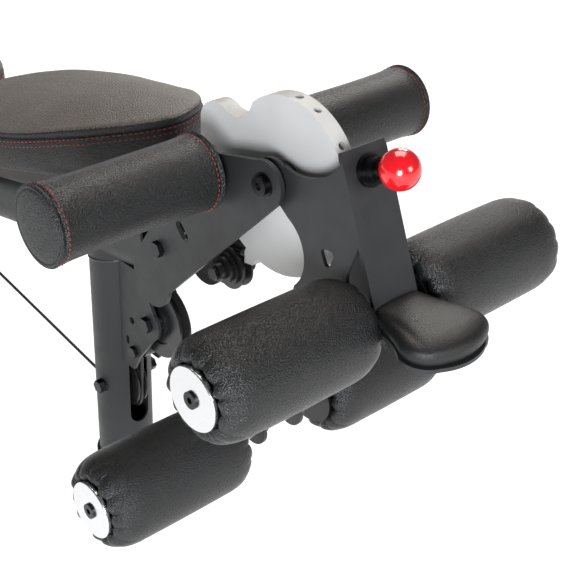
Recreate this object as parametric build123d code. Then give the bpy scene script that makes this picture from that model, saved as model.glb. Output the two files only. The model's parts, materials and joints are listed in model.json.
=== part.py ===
"""Adjustable weight bench with a leg developer: indexed cam, foam rollers and a cable run.

Frame: +X forward (towards the leg rollers), Z up, the floor at z = 0, the bench symmetric about y = 0.
"left" is the -Y side. Shapes near the leg developer are set out from the knee pivot.
"""
from build123d import *
from math import atan, atan2, asin, cos, degrees, hypot, radians, sin, sqrt, tan
import os

# ---- driving dimensions, millimetres -------------------------------------------------------------
PIVOT_X, PIVOT_Z = 621.25, 550.0         # knee pivot, from the middle of the bench and from the floor
PLATE = 5.0                             # bracket plate thickness
BRACKET_HALF = 40.0                     # half of the width across the two bracket plates

CAM_THICK = 18.0
CAM_RADIUS = 78.0                       # index rim radius
INDEX_ANGLES = (89.0, 70.5, 40.0, 22.4, 5.0, -13.0)
INDEX_HOLE_R, INDEX_DEPTH = 4.0, 15.0

ARM_HALF, ARM_WALL = 28.0, 4.0          # half width of the arm channel, sheet thickness
UPPER_AXLE = (121.0, -93.5)             # roller axles from the pivot (x, z)
LOWER_AXLE = (-22.5, -303.5)
AXLE_R = 10.0
ROLLER_R = 50.0
UPPER_END, LOWER_END = 221.0, 236.0     # outer faces of the chrome discs, from the middle
UPPER_ROLLER, LOWER_ROLLER = 177.0, 168.0   # foam lengths
DISC_R, DISC_THICK = 30.0, 5.0
SLEEVE_R = 13.0                         # plastic sleeve inside the foam

THIGH_AXIS = (-80.0, -13.0)              # thigh pad axis from the pivot (x, z)
THIGH_R, THIGH_TUBE_R = 38.0, 12.5
THIGH_INNER, THIGH_OUTER = 50.0, 236.0

PIN_ANGLE = 22.4                        # direction of the arm's pull pin from the pivot
PIN_R = 3.9
PIN_TIP, PIN_END = 64.0, 130.0          # radial positions of the pin's ends
BALL_R, BALL_AT = 19.0, 142.0

BOLT_R = 6.0                            # pivot bolt shank
FIT = 0.05                              # radial clearance of a running fit

POST_X, POST_R, TUBE_WALL = -304.0, 35.0, 3.0     # front post, from the pivot
BEAM_SLOPE = 0.21
BEAM_W, BEAM_H, BEAM_CORNER = 70.0, 76.0, 26.0
BEAM_FRONT, BEAM_REAR = -205.0, -1380.0           # ends, from the pivot
BEAM_AT_POST = -182.0                             # height of the beam's axis over the post
STABILISER_X, STABILISER_R, STABILISER_LEN = -1362.0, 30.0, 600.0

CABLE_R = 2.0
POST_PULLEY = (-300.0, -400.0, 35.0)    # x, z and cable centreline radius
FRONT_PULLEY = (-220.0, -275.0, 40.0)
CAM_PULLEY = (-90.0, -143.0, 20.0)
GUIDE_ROLLER = (-249.0, -329.0, 10.8)
CABLE_REAR = -628.0
CABLE_FALL = 0.145                      # slope of the cable behind the post

SEAT_NOSE, SEAT_LEN, SEAT_SLOPE = (-186.0, -6.0), 415.0, 0.22   # top seam of the seat
SEAT_THICK, SEAT_BOARD = 55.0, 12.0
SEAT_HINGE = (-600.0, -228.0)
BACK_FRONT, BACK_REAR, BACK_HALF = -704.0, -1430.0, 140.0
BACK_TOP, BACK_THICK, BACK_BOARD = 402.0, 48.0, 10.0           # BACK_TOP is over the floor
BACK_HINGE = (-700.0, 332.5 - PIVOT_Z)
HINGE_R = 8.0

OUT = "parts"
NODES = {}


# ---- helpers -------------------------------------------------------------------------------------
def here(dx, dz, y=0.0):
    """A point given from the knee pivot."""
    return (PIVOT_X + dx, y, PIVOT_Z + dz)


def slab(sketch, y0, y1):
    """Extrude a sketch drawn in x, z from the pivot between two lateral stations."""
    plane = Plane(origin=(PIVOT_X, y1, PIVOT_Z), x_dir=(1, 0, 0), z_dir=(0, -1, 0))
    return extrude(plane * sketch, amount=y1 - y0)


def rod(dx, dz, radius, y0, y1):
    """A cylinder along Y at a place from the pivot."""
    return Pos(PIVOT_X + dx, (y0 + y1) / 2, PIVOT_Z + dz) * Rot(90, 0, 0) * Cylinder(radius, y1 - y0)


def ring(dx, dz, outer, inner, y0, y1):
    return rod(dx, dz, outer, y0, y1) - rod(dx, dz, inner, y0 - 1, y1 + 1)


def hex_head(dx, dz, flats, y0, y1):
    """A hexagonal head or nut along Y."""
    return slab(Pos(dx, dz) * RegularPolygon(flats / 2, 6, major_radius=False), y0, y1)


def disc(x, z, r):
    return Pos(x, z) * Circle(r)


def polygon(*points):
    return make_face(Polyline(*points, close=True))


def strip_between(a, b, width):
    """A flat bar in the sketch plane from a to b."""
    length = hypot(b[0] - a[0], b[1] - a[1])
    turn = degrees(atan2(b[1] - a[1], b[0] - a[0]))
    return Pos((a[0] + b[0]) / 2, (a[1] + b[1]) / 2) * Rot(0, 0, turn) * Rectangle(length, width)


def both(make):
    """The same piece on the left and on the right."""
    left = make()
    return left, mirror(left, about=Plane.XZ)


def rounded(solid, edges, radius):
    """Fillet the given edges, with a smaller radius where the full one doesn't fit."""
    for r in (radius, radius * 0.7, radius * 0.4):
        try:
            return fillet(edges, r)
        except Exception:
            continue
    return solid


def radial(angle, r0, r1, radius, y=0.0):
    """A cylinder that points away from the pivot."""
    a = radians(angle)
    mid = (r0 + r1) / 2
    return (Pos(*here(mid * cos(a), mid * sin(a), y)) * Rot(0, 90 - angle, 0)
            * Cylinder(radius, r1 - r0))


def beam_z(dx):
    """Height of the beam's axis from the pivot."""
    return BEAM_AT_POST + BEAM_SLOPE * (dx - POST_X)


def save(name, shape):
    NODES[name] = shape
    export_step(shape, f"{OUT}/{name}.step")


def together(*shapes):
    """Separate solids that share one node."""
    return Compound(children=[solid for shape in shapes for solid in shape.solids()])


# ---- the frame -----------------------------------------------------------------------------------
BEAM_ANGLE = degrees(atan(BEAM_SLOPE))


def beam_bar(width, height, corner, x0, x1):
    """A bar along the beam's axis with rounded corners."""
    length = (x1 - x0) / cos(radians(BEAM_ANGLE))
    section = RectangleRounded(width, height, corner)
    start = here(x0, beam_z(x0))
    plane = Plane(origin=start, x_dir=(0, 1, 0), z_dir=(cos(radians(BEAM_ANGLE)), 0, sin(radians(BEAM_ANGLE))))
    return extrude(plane * section, amount=length)


def beam_outer(extra=0.0):
    return beam_bar(BEAM_W + extra, BEAM_H + extra, BEAM_CORNER, BEAM_REAR, BEAM_FRONT)


def make_main_beam():
    inner = beam_bar(BEAM_W - 2 * TUBE_WALL, BEAM_H - 2 * TUBE_WALL, BEAM_CORNER - TUBE_WALL,
                     BEAM_REAR - 10, BEAM_FRONT + 10)
    return beam_outer() - inner - rod(*SEAT_HINGE, HINGE_R, -60, 60)


PIN_STATIONS = {"seat": (-428.0, -208.0, 1), "back": (BACK_HINGE[0], BACK_HINGE[1] - 60.0, -1)}


def make_front_post():
    top = beam_z(POST_X) + PIVOT_Z
    post = Pos(PIVOT_X + POST_X, 0, 12) * Cylinder(POST_R, top - 12, align=(Align.CENTER, Align.CENTER, Align.MIN))
    post -= Pos(PIVOT_X + POST_X, 0, 5) * Cylinder(POST_R - TUBE_WALL, top,
                                                    align=(Align.CENTER, Align.CENTER, Align.MIN))
    post -= beam_outer()
    x = PIVOT_X + POST_X
    slot = RectangleRounded(27, 126, 13)
    post -= extrude(Plane(origin=(x, 0, 158), x_dir=(0, 1, 0), z_dir=(1, 0, 0)) * slot, amount=60)
    window = RectangleRounded(22, 98, 10)
    post -= extrude(Plane(origin=(x, 0, 138), x_dir=(0, -1, 0), z_dir=(-1, 0, 0)) * window, amount=60)
    return post - rod(POST_PULLEY[0], POST_PULLEY[1], 5, -60, 60)


def make_post_foot():
    """A rubber boot: a flange on the floor and a socket around the end of the post."""
    x = PIVOT_X + POST_X
    foot = Pos(x, 0, 0) * Cylinder(42, 14, align=(Align.CENTER, Align.CENTER, Align.MIN))
    foot = rounded(foot, foot.edges().filter_by(GeomType.CIRCLE).group_by(Axis.Z)[-1], 3)
    collar = Pos(x, 0, 14) * Cylinder(POST_R + 3.5, 22, align=(Align.CENTER, Align.CENTER, Align.MIN))
    socket = Pos(x, 0, 12) * Cylinder(POST_R, 40, align=(Align.CENTER, Align.CENTER, Align.MIN))
    return foot + collar - socket


def bracket_outline():
    """Side plate: a lobe around the knee pivot, an arm sloping down and back to the beam."""
    tx, tz = THIGH_AXIS
    body = make_face([
        Line((17, -17), (-152, -193)),
        ThreePointArc((-152, -193), (-182, -222), (-205, -214)),
        ThreePointArc((-205, -214), (-215, -186), (-206, -160)),
        Line((-206, -160), (-190, -136)),
        Line((-190, -136), (tx - 20, tz + 14)),
        ThreePointArc((tx - 20, tz + 14), (tx - 2, tz + 23), (tx + 14, tz + 20)),
        Line((tx + 14, tz + 20), (0, 24)),
        Line((0, 24), (17, -17)),
    ])
    body += disc(0, 0, 24)
    body -= Pos(-126, -104) * Rot(0, 0, -45) * SlotOverall(24, 11)
    return body - disc(0, 0, BOLT_R + 0.3) - disc(*SPACER_AT, 5.1)


SPACER_AT = (-166.0, -142.0)


def make_bracket_plate():
    plate = slab(bracket_outline(), -BRACKET_HALF, -BRACKET_HALF + PLATE)
    return plate - rod(CAM_PULLEY[0], CAM_PULLEY[1], 4.1, -60, -20)


def make_bracket_spacer():
    """A through bolt with a distance tube between the plates, just above the beam's end."""
    tube_y = BRACKET_HALF - PLATE
    x, z = SPACER_AT
    bolt = rod(x, z, 5.0, -BRACKET_HALF - 1, BRACKET_HALF + 1)
    ends = hex_head(x, z, 16, -BRACKET_HALF - 7, -BRACKET_HALF) + hex_head(x, z, 16, BRACKET_HALF, BRACKET_HALF + 7)
    return together(ring(x, z, 9, 5.0, -tube_y, tube_y), bolt + ends)


def make_thigh_tube():
    """A tube welded to the outside of the side plate, closed by a plug."""
    x, z = THIGH_AXIS
    tube = ring(x, z, THIGH_TUBE_R, THIGH_TUBE_R - 2.5, -THIGH_OUTER + 8, -BRACKET_HALF)
    collar = ring(x, z, 20, THIGH_TUBE_R, -BRACKET_HALF - 8, -BRACKET_HALF)
    return tube + collar


def make_thigh_pad():
    x, z = THIGH_AXIS
    pad = rod(x, z, THIGH_R, -THIGH_OUTER, -THIGH_INNER)
    pad = rounded(pad, pad.edges().filter_by(GeomType.CIRCLE), 5)
    return pad - rod(x, z, THIGH_TUBE_R, -THIGH_OUTER + 8, -THIGH_INNER + 5)


def make_pivot_bolt():
    """Socket head on the left, nut on the right."""
    half = BRACKET_HALF
    bolt = rod(0, 0, BOLT_R, -half - 2, half + 12) + rod(0, 0, 9.5, -half - 7, -half - 1.6)
    bolt -= slab(RegularPolygon(4, 6), -half - 8, -half - 4)
    washers = [ring(0, 0, 12, BOLT_R, -half - 1.6, -half), ring(0, 0, 12, BOLT_R, half, half + 1.6)]
    nut = hex_head(0, 0, 18, half + 1.6, half + 11) - rod(0, 0, BOLT_R, half, half + 20)
    return together(bolt, nut, *washers)


def make_pivot_washers():
    """Two stacked spacer washers in each gap between the arm and a side plate."""
    inner, outer = ARM_HALF + 2.2, BRACKET_HALF - PLATE
    middle = (inner + outer) / 2
    rings = []
    for sign in (-1, 1):
        rings.append(ring(0, 0, 19, BOLT_R, *sorted((sign * inner, sign * middle))))
        rings.append(ring(0, 0, 22, BOLT_R, *sorted((sign * middle, sign * outer))))
    return together(*rings)


def make_rear_stabiliser():
    """A cross tube on the floor with a saddle to the beam and forks for the transport wheels."""
    x, z = STABILISER_X, STABILISER_R + 22 - PIVOT_Z
    tube = ring(x, z, STABILISER_R, STABILISER_R - TUBE_WALL, -STABILISER_LEN / 2, STABILISER_LEN / 2)
    saddle = slab(polygon((x - 4, z + 20), (x + 50, z + 5), (x + 50, z + 90), (x - 4, z + 90)), -30, 30)
    saddle -= rod(x, z, STABILISER_R, -40, 40) + beam_outer()
    part = tube + saddle
    wx, wz = WHEEL_AT
    for side in (-1, 1):
        for inset in (-18.0, 14.0):
            y = side * (WHEEL_Y + inset) if side > 0 else side * (WHEEL_Y + inset) - 4
            ear = slab(strip_between((x, z), (wx, wz), 30) + disc(wx, wz, 15), y, y + 4)
            part += ear - rod(x, z, STABILISER_R - 1, y - 1, y + 5) - rod(wx, wz, 4.1, y - 1, y + 5)
    return part


WHEEL_AT = (STABILISER_X - 73.0, 44.0 - PIVOT_Z)
WHEEL_Y, WHEEL_R, WHEEL_W = 215.0, 40.0, 26.0


def make_wheel(side):
    x, z = WHEEL_AT
    y0, y1 = sorted((side * (WHEEL_Y - WHEEL_W / 2), side * (WHEEL_Y + WHEEL_W / 2)))
    wheel = ring(x, z, WHEEL_R, 4 + FIT, y0, y1)
    wheel = rounded(wheel, wheel.edges().filter_by(GeomType.CIRCLE).group_by(SortBy.RADIUS)[-1], 5)
    for face_y in (y0, y1):
        wheel -= ring(x, z, 28, 11, face_y - 4, face_y + 4)
    return wheel


def make_wheel_bolts():
    x, z = WHEEL_AT
    bolts = []
    for side in (-1, 1):
        y0, y1 = sorted((side * (WHEEL_Y - 20), side * (WHEEL_Y + 20)))
        bolt = rod(x, z, 4, y0, y1) + hex_head(x, z, 13, y0 - 4, y0 + 2) + hex_head(x, z, 13, y1 - 2, y1 + 4)
        bolts.append(bolt)
    return together(*bolts)


def make_tube_caps():
    """Rubber feet on the stabiliser's ends and a plug in the beam's rear end."""
    caps = []
    x, z = STABILISER_X, STABILISER_R + 22 - PIVOT_Z
    for side in (-1, 1):
        y0, y1 = sorted((side * (STABILISER_LEN / 2 - 55), side * (STABILISER_LEN / 2 + 5)))
        boot = rod(x, z, STABILISER_R + 4, y0, y1)
        boot += slab(Pos(x, z - 26) * Rectangle(54, 52), y0, y1)
        fill = sorted((side * (STABILISER_LEN / 2 - 60), side * STABILISER_LEN / 2))
        caps.append(boot - rod(x, z, STABILISER_R, *fill))
    plug = beam_bar(BEAM_W, BEAM_H, BEAM_CORNER, BEAM_REAR - 6, BEAM_REAR)
    caps.append(plug)
    return together(*caps)


# ---- pulleys and cable ---------------------------------------------------------------------------
def pulley(place, flange, half_width, bore, hub=0.0):
    """A grooved wheel for the cable; place is x, z and the cable's centreline radius."""
    x, z, track = place
    floor_r = track - CABLE_R - 0.3
    rim = ring(x, z, floor_r + flange, bore + FIT, -half_width, half_width)
    groove = revolve_groove(x, z, floor_r, floor_r + flange, half_width)
    wheel = rim - groove
    if hub:
        wheel += ring(x, z, hub, bore + FIT, -half_width - 4, half_width + 4)
    return wheel


def revolve_groove(x, z, floor_r, outer_r, half_width):
    """The V with a rounded floor, turned around the pulley's axis."""
    mouth = half_width * 0.75
    flat = CABLE_R + 0.6
    profile = Plane.XY * polygon((floor_r, -flat), (outer_r + 1, -mouth), (outer_r + 1, mouth), (floor_r, flat))
    turned = revolve(profile, axis=Axis.Y, revolution_arc=360)
    return Pos(*here(x, z)) * turned


def make_front_pulley():
    wheel = pulley(FRONT_PULLEY, 9, 8, 5, hub=13)
    x, z, _ = FRONT_PULLEY
    for face in (-8, 8):
        wheel -= ring(x, z, 30, 17, face - 2, face + 2)
    return wheel


def make_post_pulley():
    return pulley(POST_PULLEY, 6, 7, 5, hub=10)


def make_cam_pulley():
    """A double pulley with a stepped hub that tapers towards the left."""
    wheel = pulley(CAM_PULLEY, 6.5, 7, 4, hub=0)
    x, z, _ = CAM_PULLEY
    steps = ((19, -11, -7), (15, -16, -11), (10, -24, -16), (19, 7, 11), (13, 11, 20))
    for r, y0, y1 in steps:
        wheel += ring(x, z, r, 4 + FIT, y0, y1)
    return wheel


def make_guide_roller():
    x, z, r = GUIDE_ROLLER
    return ring(x, z, r, 4 + FIT, -11, 11)


def bracket_wall():
    """One wall of the pulley bracket: wide round the pulley bolt, a tail down the post."""
    px, pz, _ = FRONT_PULLEY
    gx, gz, _ = GUIDE_ROLLER
    back = -280.0
    wall = make_face([
        Line((back, -212), (-236, -212)),
        Line((-236, -212), (px + 12, pz + 18)),
        ThreePointArc((px + 12, pz + 18), (px + 21, pz), (px + 10, pz - 19)),
        Line((px + 10, pz - 19), (gx + 10, gz - 4)),
        Line((gx + 10, gz - 4), (gx - 2, -356)),
        Line((gx - 2, -356), (back, -356)),
        Line((back, -356), (back, -212)),
    ])
    wall -= disc(-252, -286, 4.5) + Pos(-262, -318) * SlotOverall(12, 6, rotation=90)
    return wall - disc(px, pz, 5.1) - disc(gx, gz, 4.1)


def make_pulley_bracket():
    """A channel welded to the front of the post."""
    walls = slab(bracket_wall(), -20, -16) + slab(bracket_wall(), 16, 20)
    walls += slab(Pos(-274, -224) * Rectangle(12, 24), -17, 17)
    return walls - beam_outer() - Pos(PIVOT_X + POST_X, 0, 150) * Cylinder(POST_R, 500)


def make_pulley_bolts():
    bolts = []
    x, z, _ = FRONT_PULLEY
    spacers = [ring(x, z, 9, 5, *sorted((s * 12.2, s * 16))) for s in (-1, 1)]
    bolt = rod(x, z, 5, -22, 26) + hex_head(x, z, 17, -27, -20) + hex_head(x, z, 17, 20, 27)
    bolts += [bolt, *spacers]
    x, z, _ = GUIDE_ROLLER
    bolts.append(rod(x, z, 4, -22, 22) + hex_head(x, z, 13, -25, -20) + hex_head(x, z, 13, 20, 25))
    x, z, _ = POST_PULLEY
    reach = POST_R + 1
    bolt = rod(x, z, 5, -reach - 2, reach + 2) + hex_head(x, z, 15, -reach - 7, -reach)
    bolts.append(bolt + hex_head(x, z, 15, reach, reach + 7))
    tube = Pos(PIVOT_X + POST_X, 0, 150) * Cylinder(POST_R, 500)
    bore = Pos(PIVOT_X + POST_X, 0, 150) * Cylinder(POST_R - TUBE_WALL, 500)
    bolts += [ring(x, z, 9, 5, *sorted((s * 32, s * reach))) - tube for s in (-1, 1)]
    bolts += [ring(x, z, 8, 5, *sorted((s * 11.2, s * 33))) & bore for s in (-1, 1)]
    x, z, _ = CAM_PULLEY
    side = BRACKET_HALF - PLATE
    bolt = rod(x, z, 4, -29, BRACKET_HALF + 2) + hex_head(x, z, 13, -29, -24.2)
    bolts.append(bolt + hex_head(x, z, 13, BRACKET_HALF, BRACKET_HALF + 6))
    bolts.append(ring(x, z, 8, 4, 20.2, side))
    return together(*bolts)


def tangent(a, b, side_a, side_b):
    """Direction of the line that leaves circle a and reaches circle b; side +1 keeps it on the left."""
    (ax, az, ar), (bx, bz, br) = a, b
    span = hypot(bx - ax, bz - az)
    return degrees(atan2(bz - az, bx - ax) + asin((side_b * br - side_a * ar) / span))


def leave(circle, direction, side):
    """The tangent point on a circle for a line of this direction."""
    x, z, r = circle
    a = radians(direction + 90 * side)
    return x + r * cos(a), z + r * sin(a)


def corner(circle, turn_in, turn_out, side):
    """Where the lines before and after a pulley meet."""
    px, pz = leave(circle, turn_in, side)
    reach = circle[2] * tan(radians(abs(turn_out - turn_in) / 2))
    return px + reach * cos(radians(turn_in)), pz + reach * sin(radians(turn_in))


def cable_route():
    """Corners of the cable's path in x, z from the pivot, with the radius at each inner corner."""
    first = -degrees(atan(CABLE_FALL))
    rise = tangent(POST_PULLEY, FRONT_PULLEY, -1, 1)
    over = tangent(FRONT_PULLEY, CAM_PULLEY, 1, 1)
    last = 8.0
    low = leave(POST_PULLEY, first, -1)
    start = (CABLE_REAR, low[1] + CABLE_FALL * (low[0] - CABLE_REAR))
    corners = [corner(POST_PULLEY, first, rise, -1), corner(FRONT_PULLEY, rise, over, 1),
               corner(CAM_PULLEY, over, last, 1)]
    end = (corners[-1][0] + 24 * cos(radians(last)), corners[-1][1] + 24 * sin(radians(last)))
    return [start, *corners, end], [POST_PULLEY[2], FRONT_PULLEY[2], CAM_PULLEY[2]]


def make_leg_cable():
    points, radii = cable_route()
    route = [here(x, z) for x, z in points]
    path = FilletPolyline(*route, radius=radii)
    normal = Vector(*route[1]) - Vector(*route[0])
    section = Plane(origin=route[0], z_dir=normal.normalized()) * Circle(CABLE_R)
    tube = sweep(section, path=path)
    print("cable corners from the floor:", [tuple(round(v, 1) for v in p) for p in route])
    print("cable radii", [round(r, 1) for r in radii], "length", round(path.length, 1),
          "volume ratio", round(tube.volume / (path.length * 3.14159 * CABLE_R ** 2), 4))
    return tube


def cable_piece(at, direction, r, length, back=0.0):
    """A cylinder in line with the cable, starting at a point of its route."""
    a = radians(direction)
    mid = length / 2 - back
    x, z = at[0] + mid * cos(a), at[1] + mid * sin(a)
    return Pos(*here(x, z)) * Rot(0, 90 - direction, 0) * Cylinder(r, length)


def make_cable_hook():
    """Crimped ferrule and a snap hook on the rear end of the cable."""
    start = cable_route()[0][0]
    direction = 180 - degrees(atan(CABLE_FALL))
    ferrule = cable_piece(start, direction, 4.5, 22)
    a = radians(direction)
    eye = (start[0] + 44 * cos(a), start[1] + 44 * sin(a))
    outline = Pos(*eye) * Rot(0, 0, direction) * (SlotOverall(50, 28) - SlotOverall(36, 14))
    loop = slab(outline, -3.5, 3.5)
    loop = rounded(loop, loop.edges(), 1.5)
    return ferrule + loop


def make_cable_end():
    """Threaded end stud that pulls on the cam's clevis."""
    end = cable_route()[0][-1]
    return cable_piece(end, 8.0, 4.0, 9)


# ---- the cam -------------------------------------------------------------------------------------
def cam_outline():
    a, b = radians(-40), radians(134)
    p0 = (CAM_RADIUS * cos(a), CAM_RADIUS * sin(a))
    p1 = (CAM_RADIUS * cos(b), CAM_RADIUS * sin(b))
    top = (CAM_RADIUS * cos(radians(50)), CAM_RADIUS * sin(radians(50)))
    return make_face([
        ThreePointArc(p0, top, p1),
        ThreePointArc(p1, (-63, 41), (-76, 33)),
        Line((-76, 33), (-92, 34)),
        ThreePointArc((-92, 34), (-103, 38), (-114, 37)),
        ThreePointArc((-114, 37), (-128, 28), (-133, 12)),
        Line((-133, 12), (-133, -8)),
        ThreePointArc((-133, -8), (-112, -66), (-69, -100)),
        ThreePointArc((-69, -100), (-25, -113), (13, -106)),
        ThreePointArc((13, -106), (44, -84), p0),
    ])


def make_cam_plate():
    cam = slab(cam_outline() - disc(0, 0, 14), -CAM_THICK / 2, CAM_THICK / 2)
    cam = rounded(cam, cam.edges().filter_by(GeomType.CIRCLE).filter_by(lambda e: e.radius > 70), 0.8)
    for angle in INDEX_ANGLES:
        cam -= radial(angle, CAM_RADIUS - INDEX_DEPTH, CAM_RADIUS + 6, INDEX_HOLE_R)
    return cam


def make_cam_hub():
    """Welded hub that turns on the pivot bolt and fills the width between the arm's walls."""
    reach = ARM_HALF - ARM_WALL - 0.2
    return ring(0, 0, 14, BOLT_R + FIT, -reach, reach)


def make_cable_clevis():
    """Lug under the cam where the cable's end stud pulls."""
    end = cable_route()[0][-1]
    x, z = end[0] + 10.5, end[1] + 1.5
    lug = slab(polygon((x, z - 6), (x + 12, z - 4), (-38, -100), (-60, -100), (x, z + 7)), -7, 7)
    return lug - make_cam_plate()


# ---- the leg arm ---------------------------------------------------------------------------------
STRIP_TOP, STRIP_BOTTOM = (87.0, 51.4), (148.1, -97.0)


def arm_side():
    """One wall of the arm: boss at the pivot, front edge on the strip, a leg down to the lower axle."""
    ux, uz = UPPER_AXLE
    lx, lz = LOWER_AXLE
    wall = make_face([
        ThreePointArc((14, 21), (36, 19), (52, 23)),
        ThreePointArc((52, 23), (74, 35), (87, 51.4)),
        Line((87, 51.4), (116, -19)),
        Line((116, -19), (104, -52)),
        ThreePointArc((104, -52), (104, -66), (ux - 2, uz + 16.5)),
        ThreePointArc((ux - 2, uz + 16.5), (ux + 16.5, uz - 2), (ux - 2, uz - 16.5)),
        ThreePointArc((ux - 2, uz - 16.5), (64, -158), (36, -212)),
        Line((36, -212), (lx + 20, lz + 4)),
        ThreePointArc((lx + 20, lz + 4), (lx, lz - 20), (lx - 20, lz + 2)),
        ThreePointArc((lx - 20, lz + 2), (20, -150), (34, -98)),
        ThreePointArc((34, -98), (45, -58), (22, -30)),
        Line((22, -30), (8, -20)),
        Line((8, -20), (14, 21)),
    ])
    wall += disc(0, 0, 23)
    hole = polygon((66, -42), (87, -39), (77, -64))
    wall -= fillet(hole.vertices(), 4)
    wall -= Pos(26, -170) * Rot(0, 0, 72) * SlotOverall(46, 16)
    return wall - disc(0, 0, 9) - disc(ux, uz, AXLE_R) - disc(lx, lz, AXLE_R)


def strip_profile():
    """Side view of the bent front strip and its short foot under the pad."""
    (x0, z0), (x1, z1) = STRIP_TOP, STRIP_BOTTOM
    run = hypot(x1 - x0, z1 - z0)
    ux, uz = (x1 - x0) / run, (z1 - z0) / run
    top = (x0 - 9 * ux, z0 - 9 * uz)
    bar = strip_between(top, STRIP_BOTTOM, ARM_WALL)
    foot = strip_between((x1 - 1.8, z1), (x1 + 42, z1), ARM_WALL)
    return bar + foot


def make_leg_arm():
    side = slab(arm_side(), -ARM_HALF, -ARM_HALF + ARM_WALL)
    arm = side + mirror(side, about=Plane.XZ) + slab(strip_profile(), -ARM_HALF, ARM_HALF)
    # rounded tab at the top of the strip, and the pin's hole
    (x0, z0), (x1, z1) = STRIP_TOP, STRIP_BOTTOM
    for sign in (-1, 1):
        cut = Box(60, 16, 16) - Pos(0, -sign * 8, -8) * Rot(0, 90, 0) * Cylinder(16, 60)
        arm -= Pos(*here(x0 - 3, z0 + 1 + 8, sign * (ARM_HALF - 8))) * cut
    cross = ring(14, -238, 9, 6, -ARM_HALF + ARM_WALL, ARM_HALF - ARM_WALL)
    return arm + cross - radial(PIN_ANGLE, 85, 115, 8)


def make_arm_bushings():
    """Flanged bushes pressed into the arm's walls."""
    bushes = []
    for sign in (-1, 1):
        y0, y1 = sorted((sign * (ARM_HALF - ARM_WALL), sign * ARM_HALF))
        f0, f1 = sorted((sign * ARM_HALF, sign * (ARM_HALF + 2)))
        bushes.append(ring(0, 0, 9, BOLT_R + FIT, y0, y1) + ring(0, 0, 15, BOLT_R + FIT, f0, f1))
    return together(*bushes)


def make_pin_housing():
    """Threaded housing of the pull pin: base nut, barrel and end collar, bored for the pin."""
    housing = radial(PIN_ANGLE, 94.5, 104, 7.9) + radial(PIN_ANGLE, 102.1, 107, 15)
    housing += radial(PIN_ANGLE, 107, 118, 12) + radial(PIN_ANGLE, 118, 123, 9)
    housing -= radial(PIN_ANGLE, 80, 130, PIN_R + FIT)
    return housing - radial(PIN_ANGLE, 97, 116, 6.6)


def make_axle(place, end):
    """A roller axle with its inner stop discs."""
    x, z = place
    return rod(x, z, AXLE_R, -end + DISC_THICK, end - DISC_THICK)


def roller_span(end, length):
    """Inner and outer stations of a roller on the left side, as distances from the middle."""
    outer = end - DISC_THICK - 0.6
    return outer - length, outer


def make_roller_discs():
    """Chrome end discs, and the inner stop discs against the arm's side."""
    discs = []
    for place, end, length in ROLLER_SETS:
        inner, _ = roller_span(end, length)
        x, z = place
        for sign in (-1, 1):
            y0, y1 = sorted((sign * (end - DISC_THICK), sign * end))
            cap = rod(x, z, DISC_R, y0, y1)
            cap = rounded(cap, cap.edges().filter_by(GeomType.CIRCLE), 1.2)
            cap -= rod(x, z, 5.1, y0 - 1, y1 + 1)
            discs.append(cap)
            y0, y1 = sorted((sign * (inner - 4.5), sign * (inner - 0.5)))
            discs.append(ring(x, z, DISC_R, AXLE_R, y0, y1))
    return together(*discs)


def make_disc_bolts():
    """Flush socket bolts with a collar in the middle of each end disc."""
    bolts = []
    for place, end, _ in ROLLER_SETS:
        x, z = place
        for sign in (-1, 1):
            y0, y1 = sorted((sign * (end - DISC_THICK), sign * end))
            h0, h1 = sorted((sign * end, sign * (end + 2.2)))
            k0, k1 = sorted((sign * (end - 2), sign * (end + 3)))
            bolt = rod(x, z, 5, y0, y1) + rod(x, z, 8, h0, h1)
            bolts.append(bolt - slab(Pos(x, z) * RegularPolygon(3.4, 6), k0, k1))
    return together(*bolts)


ROLLER_SETS = ((UPPER_AXLE, UPPER_END, UPPER_ROLLER), (LOWER_AXLE, LOWER_END, LOWER_ROLLER))


def make_roller(place, end, length, side):
    """Foam roller in a stitched cover, with soft rounded ends."""
    x, z = place
    inner, outer = roller_span(end, length)
    y0, y1 = sorted((side * inner, side * outer))
    foam = rod(x, z, ROLLER_R, y0, y1)
    foam = rounded(foam, foam.edges().filter_by(GeomType.CIRCLE), 17)
    return foam - rod(x, z, SLEEVE_R, y0 - 1, y1 + 1)


def make_sleeve(place, end, length, side):
    x, z = place
    inner, outer = roller_span(end, length)
    y0, y1 = sorted((side * inner, side * outer))
    return ring(x, z, SLEEVE_R, AXLE_R + FIT, y0, y1)


def pad_outline(grow=0.0):
    """Plan of the front pad: a neck between the rollers that flares to a round front."""
    g = grow
    return make_face([
        Line((120, -31.5 - g), (120, 31.5 + g)),
        Line((120, 31.5 + g), (160, 31.5 + g)),
        ThreePointArc((160, 31.5 + g), (177, 37 + g), (190, 46 + g)),
        ThreePointArc((190, 46 + g), (208, 46 + g), (223 + g, 30)),
        ThreePointArc((223 + g, 30), (231 + g, 0), (223 + g, -30)),
        ThreePointArc((223 + g, -30), (208, -46 - g), (190, -46 - g)),
        ThreePointArc((190, -46 - g), (177, -37 - g), (160, -31.5 - g)),
        Line((160, -31.5 - g), (120, -31.5 - g)),
    ])


PAD_BASE = STRIP_BOTTOM[1] + ARM_WALL / 2 + 4         # underside of the cushion, from the pivot


def behind_strip():
    """The space behind the front face of the strip."""
    (x0, z0), (x1, z1) = STRIP_TOP, STRIP_BOTTOM
    run = hypot(x1 - x0, z1 - z0)
    nx, nz = (z0 - z1) / run * ARM_WALL / 2, (x1 - x0) / run * ARM_WALL / 2
    low = (x1 + nx + (x1 - x0) * 0.2, z1 + nz + (z1 - z0) * 0.2)
    return slab(polygon((x0 + nx, z0 + nz), low, (60, low[1]), (60, z0)), -80, 80)


def make_foot_pad_plate():
    plane = Plane(origin=here(0, PAD_BASE - 4), x_dir=(1, 0, 0), z_dir=(0, 0, 1))
    return extrude(plane * pad_outline(1.5), amount=4) - behind_strip()


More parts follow.
